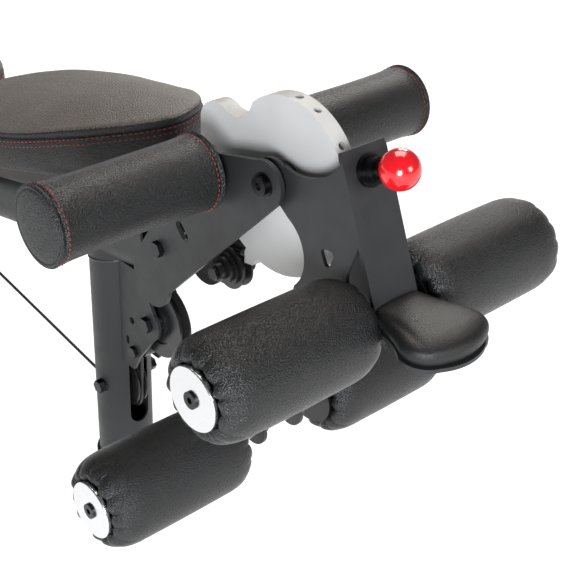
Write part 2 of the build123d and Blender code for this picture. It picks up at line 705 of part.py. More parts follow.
def make_foot_pad():
    plane = Plane(origin=here(0, PAD_BASE), x_dir=(1, 0, 0), z_dir=(0, 0, 1))
    pad = extrude(plane * pad_outline(), amount=25)
    pad = rounded(pad, pad.edges().group_by(Axis.Z)[-1], 14)
    return pad - behind_strip()


def make_pull_pin():
    """Plunger with the collar that its hidden spring pushes on."""
    pin = radial(PIN_ANGLE, PIN_TIP, PIN_END, PIN_R)
    return pin + radial(PIN_ANGLE, 97.3, 99.3, 6.3)


def make_ball_knob():
    a = radians(PIN_ANGLE)
    ball = Pos(*here(BALL_AT * cos(a), BALL_AT * sin(a))) * Sphere(BALL_R)
    return ball + radial(PIN_ANGLE, 124.3, 128, 6) - radial(PIN_ANGLE, 120, PIN_END, PIN_R)


# ---- seat ----------------------------------------------------------------------------------------
SEAT_TILT = degrees(atan(SEAT_SLOPE))


def seat_plane(depth=0.0):
    """Plane parallel to the seat's top, this far under its seam; local x runs to the rear."""
    a = radians(SEAT_TILT)
    x, y, z = here(*SEAT_NOSE)
    return Plane(origin=(x + depth * sin(a), y, z - depth * cos(a)), x_dir=(-cos(a), 0, -sin(a)),
                 z_dir=(-sin(a), 0, cos(a)))


def seat_outline(inset=0.0):
    """Plan of the seat: a rounded nose that widens towards the back."""
    i = inset
    half = [(i, 0), (14 + i, 34 - i), (42, 65 - i), (81, 88 - i), (151, 108 - i), (206, 118 - i),
            (254, 121 - i), (296, 116 - i), (329, 103 - i), (354 - i, 82), (378 - i, 54), (400 - i, 25),
            (SEAT_LEN - 7 - i, 0)]
    other = [(x, -y) for x, y in half[-2:0:-1]]
    return make_face(Spline(*half, *other, periodic=True))


def make_seat_pad():
    pad = extrude(seat_plane(SEAT_THICK) * seat_outline(), amount=SEAT_THICK)
    top = pad.edges().filter_by(lambda e: (e.center() - Vector(*seat_plane().origin)).dot(seat_plane().z_dir) > -1)
    return rounded(pad, top, 9)


def make_seat_board():
    return extrude(seat_plane(SEAT_THICK + SEAT_BOARD) * seat_outline(9), amount=SEAT_BOARD)


def in_seat(u, v, depth):
    """A point by its distance behind the nose, to the side and under the seam."""
    plane = seat_plane(depth)
    return plane.origin + plane.x_dir * u + Vector(0, v, 0)


def make_seat_frame():
    """Two rails under the board, cross bars, hinge ears and the index sector."""
    under = SEAT_THICK + SEAT_BOARD
    part = None
    for sign in (-1, 1):
        centre = in_seat(206, sign * 57.5, under + 12)
        rail = Plane(origin=centre, x_dir=seat_plane().x_dir, z_dir=seat_plane().z_dir) * Box(270, 25, 24)
        part = rail if part is None else part + rail
    for u in (90, 200, 322):
        centre = in_seat(u, 0, under + 2.5)
        part += Plane(origin=centre, x_dir=seat_plane().x_dir, z_dir=seat_plane().z_dir) * Box(30, 116, 5)
    hx, hz = SEAT_HINGE
    for sign in (-1, 1):
        y0, y1 = sorted((sign * 45, sign * 51))
        top = in_seat(340, 0, under + 4)
        front = in_seat(280, 0, under + 4)
        lug = polygon((hx - 18, hz - 6), (hx + 18, hz - 6), (front.X - PIVOT_X, front.Z - PIVOT_Z),
                      (top.X - PIVOT_X, top.Z - PIVOT_Z)) + disc(hx, hz, 18)
        part += slab(lug, y0, y1)
        part -= rod(hx, hz, HINGE_R + FIT, min(y0, y1) - 1, max(y0, y1) + 1)
    sx, sz, _ = PIN_STATIONS["seat"]
    reach = hypot(sx - hx, sz - hz)
    start = degrees(atan2(sz - hz, sx - hx))
    sector = None
    for step in range(-16, 22, 2):
        a, b = radians(start + step), radians(start + step + 2)
        wedge = polygon(*[(hx + r * cos(t), hz + r * sin(t)) for r, t in
                          ((reach - 17, a), (reach + 17, a), (reach + 17, b), (reach - 17, b))])
        sector = wedge if sector is None else sector + wedge
    for step in SEAT_STEPS:
        a = radians(start - step)
        sector -= disc(hx + reach * cos(a), hz + reach * sin(a), 5.1)
    return part + slab(sector, 40, 45.2)


SEAT_STEPS = (0, 6, 12)
BACK_STEPS = (0, 15, 30, 45, 60, 75)


# ---- back ----------------------------------------------------------------------------------------
def back_outline(inset=0.0):
    """Plan of the back pad: rounded shoulders and a slightly narrower lower end."""
    i = inset
    half = [(BACK_FRONT - i, 0), (BACK_FRONT - 5 - i, 70), (BACK_FRONT - 28 - i, 104 - i),
            (BACK_FRONT - 90, 126 - i), (BACK_FRONT - 220, BACK_HALF - i), (BACK_FRONT - 480, BACK_HALF - i),
            (BACK_REAR + 110, 130 - i), (BACK_REAR + 34 + i, 104 - i), (BACK_REAR + 5 + i, 60), (BACK_REAR + i, 0)]
    other = [(x, -y) for x, y in half[-2:0:-1]]
    return make_face(Spline(*half, *other, periodic=True))


def flat(sketch, z, height):
    """Extrude a plan drawn from the pivot's x upwards from a height over the floor."""
    return extrude(Plane(origin=(PIVOT_X, 0, z), x_dir=(1, 0, 0), z_dir=(0, 0, 1)) * sketch, amount=height)


def make_back_pad():
    pad = flat(back_outline(), BACK_TOP - BACK_THICK, BACK_THICK)
    return rounded(pad, pad.edges().group_by(Axis.Z)[-1], 9)


def make_back_board():
    return flat(back_outline(9), BACK_TOP - BACK_THICK - BACK_BOARD, BACK_BOARD)


def make_back_frame():
    """Two rails with cross bars and the index sector, all on the back's hinge."""
    under = BACK_TOP - BACK_THICK - BACK_BOARD
    hx, hz = BACK_HINGE
    part = None
    x0, x1 = PIVOT_X + hx, PIVOT_X + BACK_REAR + 160
    for sign in (-1, 1):
        rail = Pos((x0 + x1) / 2, sign * 63, under - 12) * Box(x0 - x1, 30, 24)
        rail = fillet(rail.edges().filter_by(Axis.X), 3)
        rail += rod(hx, hz, 11.4, *sorted((sign * 48, sign * 78)))
        rail -= rod(hx, hz, HINGE_R + FIT, *sorted((sign * 40, sign * 90)))
        part = rail if part is None else part + rail
    for x in (x0 - 54, x0 - 264, x1 + 30):
        part += Pos(x, 0, under - 2.5) * Box(34, 126, 5)
    px, pz, _ = PIN_STATIONS["back"]
    reach = hz - pz
    sector = disc(hx, hz, reach + 14)
    keep = polygon((hx, hz + 10), (hx - 160, hz + 10), (hx - 60, hz - 180), (hx + 190, hz - 150), (hx + 150, hz + 10))
    sector = (sector & keep) + disc(hx, hz, 11)
    for step in BACK_STEPS:
        a = radians(-90 + step)
        sector -= disc(hx + reach * cos(a), hz + reach * sin(a), 5.1)
    sector -= disc(hx, hz, HINGE_R + FIT)
    return part + slab(sector, -48.2, -43)


def make_hinge_lugs():
    """Lugs of the back's hinge on the beam's sides, and outriggers that carry the two pull pins."""
    hx, hz = BACK_HINGE
    part = None
    for sign in (-1, 1):
        y0, y1 = sorted((sign * 35, sign * 41))
        lug = polygon((hx - 34, beam_z(hx) - 6), (hx + 34, beam_z(hx) - 6), (hx + 11, hz), (hx - 11, hz)) + disc(hx, hz, 11)
        lug = slab(lug - disc(hx, hz, HINGE_R + FIT), y0, y1)
        part = lug if part is None else together(part, lug)
    for name, gap in (("seat", (40, 45.2)), ("back", (43, 48.2))):
        x, z, side = PIN_STATIONS[name]
        low = beam_z(x) - BEAM_H / 2 - 9
        y0, y1 = sorted((side * (gap[1] + 1.8), side * (gap[1] + 6.8)))
        wall = slab(Pos(x, (low + z - 1.5) / 2) * Rectangle(30, z - low + 29.5), y0, y1)
        foot = slab(Pos(x, low - 1.5) * Rectangle(30, 28), *sorted((side * -18, side * 36)))
        foot += slab(Pos(x, low - 12) * Rectangle(30, 7), *sorted((side * 30, side * (gap[1] + 6.8))))
        outrigger = wall + foot - beam_outer()
        outrigger -= rod(x, z, 5.08, *sorted((side * 36, side * 70)))
        outrigger += ring(x, z, 11, 5.08, *sorted((side * (gap[1] + 6.8), side * (gap[1] + 22))))
        part = together(part, outrigger)
    return part


def make_index_pin(name):
    """Spring pin with a round knob, across the index sector."""
    x, z, side = PIN_STATIONS[name]
    face = 45.2 if name == "seat" else 48.2
    shaft = rod(x, z, 5.0, *sorted((side * (face + 0.6), side * (face + 44))))
    knob = rod(x, z, 14, *sorted((side * (face + 33), side * (face + 55))))
    return shaft + rounded(knob, knob.edges().filter_by(GeomType.CIRCLE), 5)


def make_hinge_pins():
    """Headed pins with a washer and nut for the seat and the back."""
    pins = []
    for (x, z), reach in ((SEAT_HINGE, 51.5), (BACK_HINGE, 78.5)):
        pin = rod(x, z, HINGE_R, -reach - 2, reach + 2)
        pins.append(pin + rod(x, z, 11, -reach - 6, -reach) + hex_head(x, z, 19, reach, reach + 8))
    return together(*pins)


# ---- write the parts -----------------------------------------------------------------------------
def main():
    os.makedirs(OUT, exist_ok=True)
    for name, make in (("bracket_plate", make_bracket_plate), ("thigh_tube", make_thigh_tube),
                       ("thigh_pad", make_thigh_pad)):
        left, right = both(make)
        save(f"{name}_left", left)
        save(f"{name}_right", right)
    for side, word in ((-1, "left"), (1, "right")):
        for row, (place, end, length) in zip(("upper", "lower"), ROLLER_SETS):
            save(f"roller_{row}_{word}", make_roller(place, end, length, side))
            save(f"sleeve_{row}_{word}", make_sleeve(place, end, length, side))
        save(f"transport_wheel_{word}", make_wheel(side))
    save("upper_axle", make_axle(UPPER_AXLE, UPPER_END))
    save("lower_axle", make_axle(LOWER_AXLE, LOWER_END))
    for name in ("seat", "back"):
        save(f"{name}_pin", make_index_pin(name))
    singles = (make_main_beam, make_front_post, make_post_foot, make_bracket_spacer, make_pivot_bolt,
               make_pivot_washers, make_rear_stabiliser, make_wheel_bolts, make_tube_caps, make_front_pulley,
               make_post_pulley, make_cam_pulley, make_guide_roller, make_pulley_bracket, make_pulley_bolts,
               make_leg_cable, make_cable_hook, make_cable_end, make_cam_plate, make_cam_hub, make_cable_clevis,
               make_leg_arm, make_arm_bushings, make_pin_housing, make_roller_discs, make_disc_bolts,
               make_foot_pad_plate, make_foot_pad, make_pull_pin, make_ball_knob,
               make_seat_pad, make_seat_board, make_seat_frame, make_back_pad, make_back_board,
               make_back_frame, make_hinge_lugs, make_hinge_pins)
    for make in singles:
        save(make.__name__.removeprefix("make_"), make())
    box = Compound(children=list(NODES.values())).bounding_box()
    print(len(NODES), "nodes, box", [round(v, 1) for v in (*box.min, *box.max)])


main()
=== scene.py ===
import json
import math

import bmesh
import bpy
import numpy as np
from mathutils import Matrix, Vector


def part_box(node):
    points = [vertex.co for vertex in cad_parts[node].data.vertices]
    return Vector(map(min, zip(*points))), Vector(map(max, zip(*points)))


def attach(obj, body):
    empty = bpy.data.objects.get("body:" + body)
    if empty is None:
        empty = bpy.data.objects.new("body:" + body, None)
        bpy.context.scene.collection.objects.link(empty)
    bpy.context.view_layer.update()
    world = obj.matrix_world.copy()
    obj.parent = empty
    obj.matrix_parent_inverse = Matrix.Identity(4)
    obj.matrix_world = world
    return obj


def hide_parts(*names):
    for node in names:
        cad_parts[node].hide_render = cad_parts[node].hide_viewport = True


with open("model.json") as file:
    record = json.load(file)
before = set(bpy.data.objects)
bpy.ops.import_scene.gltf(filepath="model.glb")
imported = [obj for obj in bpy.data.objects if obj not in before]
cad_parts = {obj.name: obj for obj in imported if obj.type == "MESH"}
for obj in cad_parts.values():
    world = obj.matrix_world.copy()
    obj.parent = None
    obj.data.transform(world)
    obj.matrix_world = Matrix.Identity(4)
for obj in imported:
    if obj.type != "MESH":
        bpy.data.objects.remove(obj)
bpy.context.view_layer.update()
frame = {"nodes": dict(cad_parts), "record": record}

PX, PZ = 0.62125, 0.55                   # knee pivot
THIGH_X, THIGH_Z = PX - 0.080, PZ - 0.013
SEAT_SLOPE = 0.22
BUMPER_HEIGHT = 0.021
CABLE_RADIUS = 0.002
FLOOR_HALF = 70.0                        # far enough that no view reaches the edge
FLOOR_GLOW, SKY_GLOW = 0.97, 0.12
# inner and outer ends of the chrome's change from dark to bright, from the middle plane
DISC_NEAR, DISC_FAR = 0.12, 0.14
# row, axle x, axle z, outer end, length
ROLLERS = (("upper", PX + 0.121, PZ - 0.0935, 0.221, 0.177),
           ("lower", PX - 0.0225, PZ - 0.3035, 0.236, 0.168))
SIDES = (("left", -1), ("right", 1))
# name, place, target, size, watts, colour
LIGHTS = (("key", (2.5, -2.0, 0.95), (0.5, 0, 0.4), 0.9, 92, (0.93, 0.965, 1.0)),
          ("front", (3.2, 0.5, 1.5), (0.6, 0, 0.4), 0.9, 26, (1.0, 1.0, 1.0)),
          ("top", (-0.3, 0.9, 3.0), (0.4, 0, 0.4), 1.8, 60, (1.0, 0.94, 0.86)),
          ("rim", (-1.2, 2.4, 1.7), (0.5, 0, 0.5), 1.0, 26, (1.0, 0.97, 0.93)))
SCENE = bpy.context.scene


# ---- camera ------------------------------------------------------------------------
def make_camera():
    az, el, roll = math.radians(46.73), math.radians(31.66), math.radians(2.32)
    back = Vector((math.sin(az) * math.cos(el), -math.cos(az) * math.cos(el), math.sin(el)))
    right = Vector((math.cos(az), math.sin(az), 0))
    up = back.cross(right)
    c, s = math.cos(roll), math.sin(roll)
    right, up = c * right + s * up, -s * right + c * up
    data = bpy.data.cameras.new("camera")
    data.lens, data.sensor_width = 76.41, 36.0
    data.clip_start, data.clip_end = 0.05, 60
    cam = bpy.data.objects.new("camera", data)
    SCENE.collection.objects.link(cam)
    rot = Matrix((right, up, back)).transposed().to_4x4()
    cam.matrix_world = Matrix.Translation((PX + 0.77493, -0.72716, 1.07198)) @ rot
    SCENE.camera = cam


# ---- node helpers ----------------------------------------------------------------------------
class Mat:
    """A node material built step by step."""

    def __init__(self, name, color, rough, metallic=0.0, spec=0.5, coat=0.0, coat_rough=0.1, sheen=0.0):
        self.mat = bpy.data.materials.new(name)
        self.mat.use_nodes = True
        self.nodes, self.links = self.mat.node_tree.nodes, self.mat.node_tree.links
        self.bsdf = self.nodes["Principled BSDF"]
        self.color, self.rough = color, rough
        sockets = self.bsdf.inputs
        sockets["Base Color"].default_value = (*color, 1)
        sockets["Roughness"].default_value = rough
        sockets["Metallic"].default_value = metallic
        sockets["Specular IOR Level"].default_value = spec
        sockets["Coat Weight"].default_value = coat
        sockets["Coat Roughness"].default_value = coat_rough
        sockets["Sheen Weight"].default_value = sheen
        sockets["Sheen Roughness"].default_value = 0.4
        self.place = self.nodes.new("ShaderNodeTexCoord").outputs["Object"]
        self.heights = []

    @classmethod
    def reopen(cls, mat):
        m = cls.__new__(cls)
        m.mat, m.nodes, m.links = mat, mat.node_tree.nodes, mat.node_tree.links
        m.bsdf = m.nodes["Principled BSDF"]
        m.place = m.nodes.new("ShaderNodeTexCoord").outputs["Object"]
        m.heights = []
        return m

    def stretch(self, scale):
        m = self.nodes.new("ShaderNodeMapping")
        m.inputs["Scale"].default_value = scale
        self.links.new(self.place, m.inputs["Vector"])
        return m.outputs["Vector"]

    def noise(self, scale, detail=3.0, rough=0.5, vector=None, distortion=0.0):
        n = self.nodes.new("ShaderNodeTexNoise")
        n.inputs["Scale"].default_value = scale
        n.inputs["Detail"].default_value = detail
        n.inputs["Roughness"].default_value = rough
        n.inputs["Distortion"].default_value = distortion
        self.links.new(vector or self.place, n.inputs["Vector"])
        return n.outputs["Fac"]

    def voronoi(self, scale, feature="F1", vector=None, smooth=0.3):
        n = self.nodes.new("ShaderNodeTexVoronoi")
        n.feature = feature
        n.inputs["Scale"].default_value = scale
        if feature == "SMOOTH_F1":
            n.inputs["Smoothness"].default_value = smooth
        self.links.new(vector or self.place, n.inputs["Vector"])
        return n.outputs["Distance"]

    def ramp(self, fac, stops):
        n = self.nodes.new("ShaderNodeValToRGB")
        n.color_ramp.elements[0].position = stops[0][0]
        n.color_ramp.elements[0].color = (*stops[0][1], 1)
        n.color_ramp.elements[1].position = stops[-1][0]
        n.color_ramp.elements[1].color = (*stops[-1][1], 1)
        for at, col in stops[1:-1]:
            e = n.color_ramp.elements.new(at)
            e.color = (*col, 1)
        self.links.new(fac, n.inputs["Fac"])
        return n.outputs["Color"]

    def span(self, fac, a, b, c, d):
        n = self.nodes.new("ShaderNodeMapRange")
        for key, v in zip(("From Min", "From Max", "To Min", "To Max"), (a, b, c, d)):
            n.inputs[key].default_value = v
        self.links.new(fac, n.inputs["Value"])
        return n.outputs["Result"]

    def darken(self, color, fac):
        n = self.nodes.new("ShaderNodeMix")
        n.data_type = "RGBA"
        n.blend_type = "MIX"
        n.inputs["A"].default_value = (0.002, 0.002, 0.002, 1)
        self.links.new(fac, n.inputs["Factor"])
        self.links.new(color, n.inputs[7])
        return n.outputs[2]

    def side_switch(self, near, far):
        """0 near the middle plane, 1 further out than far."""
        split = self.nodes.new("ShaderNodeSeparateXYZ")
        self.links.new(self.place, split.inputs["Vector"])
        away = self.nodes.new("ShaderNodeMath")
        away.operation = "ABSOLUTE"
        self.links.new(split.outputs["Y"], away.inputs[0])
        return self.span(away.outputs["Value"], near, far, 0.0, 1.0)

    def set_color(self, socket):
        self.links.new(socket, self.bsdf.inputs["Base Color"])

    def set_rough(self, socket):
        self.links.new(socket, self.bsdf.inputs["Roughness"])

    def bump(self, fac, strength, distance):
        b = self.nodes.new("ShaderNodeBump")
        b.inputs["Strength"].default_value = strength
        b.inputs["Distance"].default_value = distance
        self.links.new(fac, b.inputs["Height"])
        if self.heights:
            self.links.new(self.heights[-1], b.inputs["Normal"])
        self.heights.append(b.outputs["Normal"])
        self.links.new(b.outputs["Normal"], self.bsdf.inputs["Normal"])


def shade(color, k):
    return tuple(min(1.0, c * k) for c in color)


def leather(name, color, rough=0.42, grain=620.0, depth=0.00022, wrinkle=0.0006, spec=0.5, sheen=0.0,
            light=2.2):
    """Pebbled coated upholstery: rounded cells, pores between them, soft large wrinkles."""
    m = Mat(name, color, rough, spec=spec, sheen=sheen)
    warp = m.noise(90, 2, 0.5)
    cells = m.voronoi(grain, "SMOOTH_F1", smooth=0.45)
    pores = m.noise(grain * 2.6, 2, 0.6)
    tone = m.noise(14, 3, 0.6)
    base = m.ramp(tone, [(0.3, shade(color, 0.8)), (0.52, color), (0.75, shade(color, light * 0.58))])
    # the pores between the cells are painted darker: painted shade in the recesses of the grain, on the same
    # mask that bumps them down
    m.set_color(m.darken(base, m.span(cells, 0.15, 0.8, 1.0, 0.45)))
    m.set_rough(m.span(cells, 0.1, 0.75, rough - 0.10, rough + 0.18))
    m.bump(m.noise(9, 3, 0.55), 0.22, wrinkle * 2)
    m.bump(warp, 0.12, wrinkle * 0.5)
    m.bump(m.span(cells, 0.0, 0.8, 1.0, 0.0), 1.0, depth * 3.5)
    m.bump(pores, 0.3, depth * 0.6)
    return m.mat


def coat(name, color, rough=0.46, grain=1500.0):
    """Powder coat: fine orange peel, slight sparkle and tone drift."""
    m = Mat(name, color, rough, spec=0.34)
    tone = m.noise(6, 3, 0.6)
    m.set_color(m.ramp(tone, [(0.3, shade(color, 0.88)), (0.7, shade(color, 1.14))]))
    m.set_rough(m.span(m.noise(40, 3, 0.6), 0.3, 0.7, rough - 0.06, rough + 0.08))
    m.bump(m.noise(grain, 2, 0.6), 0.22, 0.00012)
    m.bump(m.noise(260, 2, 0.5), 0.12, 0.0002)
    return m.mat


def brushed(name, color, rough, stretch, scale=500.0, depth=0.00004):
    """Metal with fine parallel lines."""
    m = Mat(name, color, rough, metallic=1.0)
    lines = m.noise(scale, 3, 0.6, vector=m.stretch(stretch))
    m.set_rough(m.span(lines, 0.3, 0.7, rough - 0.07, rough + 0.1))
    m.set_color(m.ramp(m.noise(12, 3, 0.5), [(0.3, shade(color, 0.93)), (0.7, color)]))
    m.bump(lines, 0.25, depth)
    return m.mat


def plastic(name, color, rough, grain=900.0, coat_weight=0.0, depth=0.00008):
    m = Mat(name, color, rough, coat=coat_weight, coat_rough=0.06)
    m.set_color(m.ramp(m.noise(20, 3, 0.6), [(0.3, shade(color, 0.85)), (0.7, shade(color, 1.15))]))
    m.set_rough(m.span(m.noise(60, 3, 0.6), 0.3, 0.7, max(0.02, rough - 0.05), rough + 0.07))
    m.bump(m.noise(grain, 2, 0.5), 0.2, depth)
    return m.mat


def plywood(name, color):
    m = Mat(name, color, 0.6)
    layers = m.noise(60, 2, 0.5, vector=m.stretch((0.3, 0.3, 12.0)))
    m.set_color(m.ramp(layers, [(0.35, shade(color, 0.6)), (0.6, color), (0.8, shade(color, 1.5))]))
    m.bump(m.noise(500, 3, 0.6, vector=m.stretch((0.1, 1.0, 1.0))), 0.35, 0.0002)
    return m.mat


def thread(name, color):
    """Twisted sewing thread."""
    m = Mat(name, color, 0.62, sheen=0.3)
    m.set_color(m.ramp(m.noise(900, 2, 0.5), [(0.3, shade(color, 0.55)), (0.7, shade(color, 1.25))]))
    m.bump(m.noise(2600, 2, 0.5), 0.5, 0.0002)
    return m.mat


def disc_chrome():
    """Bright outside, dark and not metallic on the stop discs near the arm."""
    mat = brushed("disc_chrome", (0.80, 0.81, 0.825), 0.2, (1.0, 0.4, 1.0), scale=160, depth=0.00001)
    m = Mat.reopen(mat)
    fac = m.side_switch(DISC_NEAR, DISC_FAR)
    link = m.bsdf.inputs["Base Color"].links[0]
    m.set_color(m.darken(link.from_socket, fac))
    m.links.new(fac, m.bsdf.inputs["Metallic"])
    return mat


BLACK = (0.0085, 0.0088, 0.0100)
MATS = {
    "roller": leather("roller_leather", BLACK, rough=0.29, grain=760, depth=0.00019, spec=0.5),
    "thigh": leather("thigh_leather", (0.0085, 0.0086, 0.0095), rough=0.28, grain=760, depth=0.00019),
    "panel": leather("panel_leather", (0.024, 0.0245, 0.026), rough=0.47, grain=640, depth=0.0002),
    # seat and back tops: the black leather painted lighter and warmer on top, a painted sheen
    "seat": leather("seat_top_painted_sheen", (0.112, 0.094, 0.078), rough=0.40, grain=640, depth=0.0002, sheen=0.15,
                    spec=0.7),
    "side": leather("side_leather", (0.0085, 0.0084, 0.0084), rough=0.42, grain=600, depth=0.0002),
    "bumper": leather("bumper_leather", (0.0075, 0.0075, 0.008), rough=0.38, grain=950, depth=0.00007,
                      wrinkle=0.0003),
    "coat": coat("frame_powder_coat", (0.021, 0.0215, 0.0225)),
    "arm": coat("arm_powder_coat", (0.024, 0.0245, 0.0258), rough=0.40),
    "cam": coat("cam_silver", (0.52, 0.518, 0.513), rough=0.44, grain=1100),
    "chrome": disc_chrome(),
    "steel": brushed("bright_steel", (0.42, 0.42, 0.43), 0.3, (1.0, 30.0, 1.0), scale=60),
    "fastener": brushed("black_oxide", (0.045, 0.045, 0.048), 0.32, (1.0, 6.0, 1.0), scale=300),
    "pulley": plastic("pulley_nylon", (0.014, 0.014, 0.0145), 0.3),
    "plastic": plastic("black_plastic", (0.018, 0.018, 0.019), 0.42),
    "ball": plastic("red_ball", (0.66, 0.006, 0.012), 0.2, grain=120, coat_weight=0.7, depth=0.00002),
    "rubber": plastic("rubber_boot", (0.016, 0.016, 0.017), 0.62, grain=1400, depth=0.0002),
    "cable": plastic("cable_jacket", (0.012, 0.012, 0.012), 0.38, grain=2200),
    "board": plywood("stained_plywood", (0.035, 0.030, 0.026)),
    "thread": thread("red_thread", (0.25, 0.022, 0.030)),
    "weld": coat("weld_coat", (0.040, 0.0405, 0.0425), rough=0.36, grain=400),
}


# ---- mesh helpers ----------------------------------------------------------------------------
def make(name, verts, faces, mat, body, smooth=True):
    mesh = bpy.data.meshes.new(name)
    mesh.from_pydata([tuple(map(float, v)) for v in verts], [], faces)
    mesh.update()
    bm = bmesh.new()
    bm.from_mesh(mesh)
    bmesh.ops.recalc_face_normals(bm, faces=bm.faces)
    bm.to_mesh(mesh)
    bm.free()
    obj = bpy.data.objects.new(name, mesh)
    SCENE.collection.objects.link(obj)
    mesh.materials.append(mat)
    if smooth:
        mesh.polygons.foreach_set("use_smooth", [True] * len(mesh.polygons))
    if body:
        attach(obj, body)
    return obj


def grid_faces(rows, cols, close_rows=False):
    """Quads of a grid whose columns wrap around."""
    faces = []
    for i in range(rows - 1 + (1 if close_rows else 0)):
        for j in range(cols):
            a, b = i * cols + j, i * cols + (j + 1) % cols
            c, d = ((i + 1) % rows) * cols + (j + 1) % cols, ((i + 1) % rows) * cols + j
            faces.append((a, b, c, d))
    return faces


def turned(name, x, z, profile, mat, body, side=1, cols=180, dent=None):
    """A form turned about an axis along Y; profile is (radius, y); dent(theta, r, y) moves points."""
    theta = np.linspace(0, 2 * np.pi, cols, endpoint=False)
    verts = []
    for r, y in profile:
        rr, yy = np.full(cols, r), np.full(cols, y)
        if dent:
            dr, dy = dent(theta, r, y)
            rr, yy = rr + dr, yy + dy
        verts += list(zip(x + rr * np.cos(theta), side * yy, z + rr * np.sin(theta)))
    return make(name, verts, grid_faces(len(profile), cols, close_rows=True), mat, body)


def between(a, b, c, d, t):
    """Catmull-Rom point from b to c."""
    return 0.5 * (2 * b + (c - a) * t + (2 * a - 5 * b + 4 * c - d) * t * t
                  + (3 * b - a - 3 * c + d) * t ** 3)


def smooth_path(points, steps):
    """Points along an open Catmull-Rom curve."""
    p = np.array(points, float)
    ext = np.vstack([2 * p[0] - p[1], p, 2 * p[-1] - p[-2]])
    out = []
    for i in range(len(p) - 1):
        out += [between(*ext[i:i + 4], t) for t in np.linspace(0, 1, steps, endpoint=False)]
    out.append(p[-1])
    return np.array(out)


# share of the stitch's length, lift off the cloth and girth, as shares of its radius
STITCH_RINGS = ((0.0, -0.6, 0.5), (0.18, 0.25, 1.0), (0.5, 0.55, 1.08), (0.82, 0.25, 1.0), (1.0, -0.6, 0.5))


def capsule_run(name, paths, mat, body, length=0.0042, gap=0.0017, radius=0.00052):
    """Stitches: short thread capsules laid along closed or open paths of (point, outward normal)."""
    verts, faces = [], []
    for path, normals in paths:
        seg = np.linalg.norm(np.diff(path, axis=0), axis=1)
        total = np.concatenate([[0], np.cumsum(seg)])
        count = max(1, int(total[-1] / (length + gap)))
        step = total[-1] / count
        for k in range(count):
            ends = []
            for s in (k * step, k * step + step * length / (length + gap)):
                i = min(np.searchsorted(total, s, side="right") - 1, len(seg) - 1)
                f = (s - total[i]) / max(seg[i], 1e-9)
                ends.append((path[i] * (1 - f) + path[i + 1] * f, normals[i] * (1 - f) + normals[i + 1] * f))
            (p0, n0), (p1, n1) = ends
            t = p1 - p0
            t /= max(np.linalg.norm(t), 1e-9)
            n = (n0 + n1) / max(np.linalg.norm(n0 + n1), 1e-9)
            b = np.cross(t, n)
            base = len(verts)
            for f, lift, size in STITCH_RINGS:
                c = p0 * (1 - f) + p1 * f + n * radius * lift
                for a in range(6):
                    w = a * math.pi / 3
                    verts.append(c + radius * size * (math.cos(w) * n + math.sin(w) * b))
            for i in range(4):
                for a in range(6):
                    q = base + i * 6
                    faces.append((q + a, q + (a + 1) % 6, q + 6 + (a + 1) % 6, q + 6 + a))
            faces.append(tuple(base + a for a in range(5, -1, -1)))
            faces.append(tuple(base + 24 + a for a in range(6)))
    return make(name, verts, faces, mat, body)


def ring_path(x, z, r, y, cols=240):
    t = np.linspace(0, 2 * np.pi, cols + 1)
    pts = np.c_[x + r * np.cos(t), np.full(cols + 1, y), z + r * np.sin(t)]
    nrm = np.c_[np.cos(t), np.zeros(cols + 1), np.sin(t)]
    return pts, nrm


def weld(name, centre, axis, radius, size, body):
    """A rippled weld bead around a tube."""
    axis = Vector(axis).normalized()
    u = axis.orthogonal().normalized()
    v = axis.cross(u)
    cols, rows = 150, 10
    verts = []
    for i in range(cols):
        t = 2 * math.pi * i / cols
        out = u * math.cos(t) + v * math.sin(t)
        ripple = size * (1 + 0.16 * math.sin(t * 34) + 0.08 * math.sin(t * 7 + 1))
        for j in range(rows):
            w = 2 * math.pi * j / rows
            reach = radius + ripple * 0.7 * math.cos(w)
            verts.append(Vector(centre) + out * reach + axis * ripple * math.sin(w))
    faces = grid_faces(cols, rows, close_rows=True)
    return make(name, verts, faces, MATS["weld"], body)


# ---- rollers ---------------------------------------------------------------------------------
def pleat(theta, seed, count):
    """Irregular gathers around a ring, 0 in a fold and 1 on a ridge."""
    rng = np.random.default_rng(seed)
    bend = sum(rng.uniform(-0.5, 0.5) * np.sin(k * theta + rng.uniform(0, 6.28)) for k in (1, 2, 3, 5))
    wave = np.abs(np.sin((count * theta + 1.4 * bend) / 2)) ** 0.55
    height = 1 + 0.28 * sum(np.sin(k * theta + rng.uniform(0, 6.28)) for k in (4, 7, 11)) / 2
    return wave * np.clip(height, 0.45, 1.5)


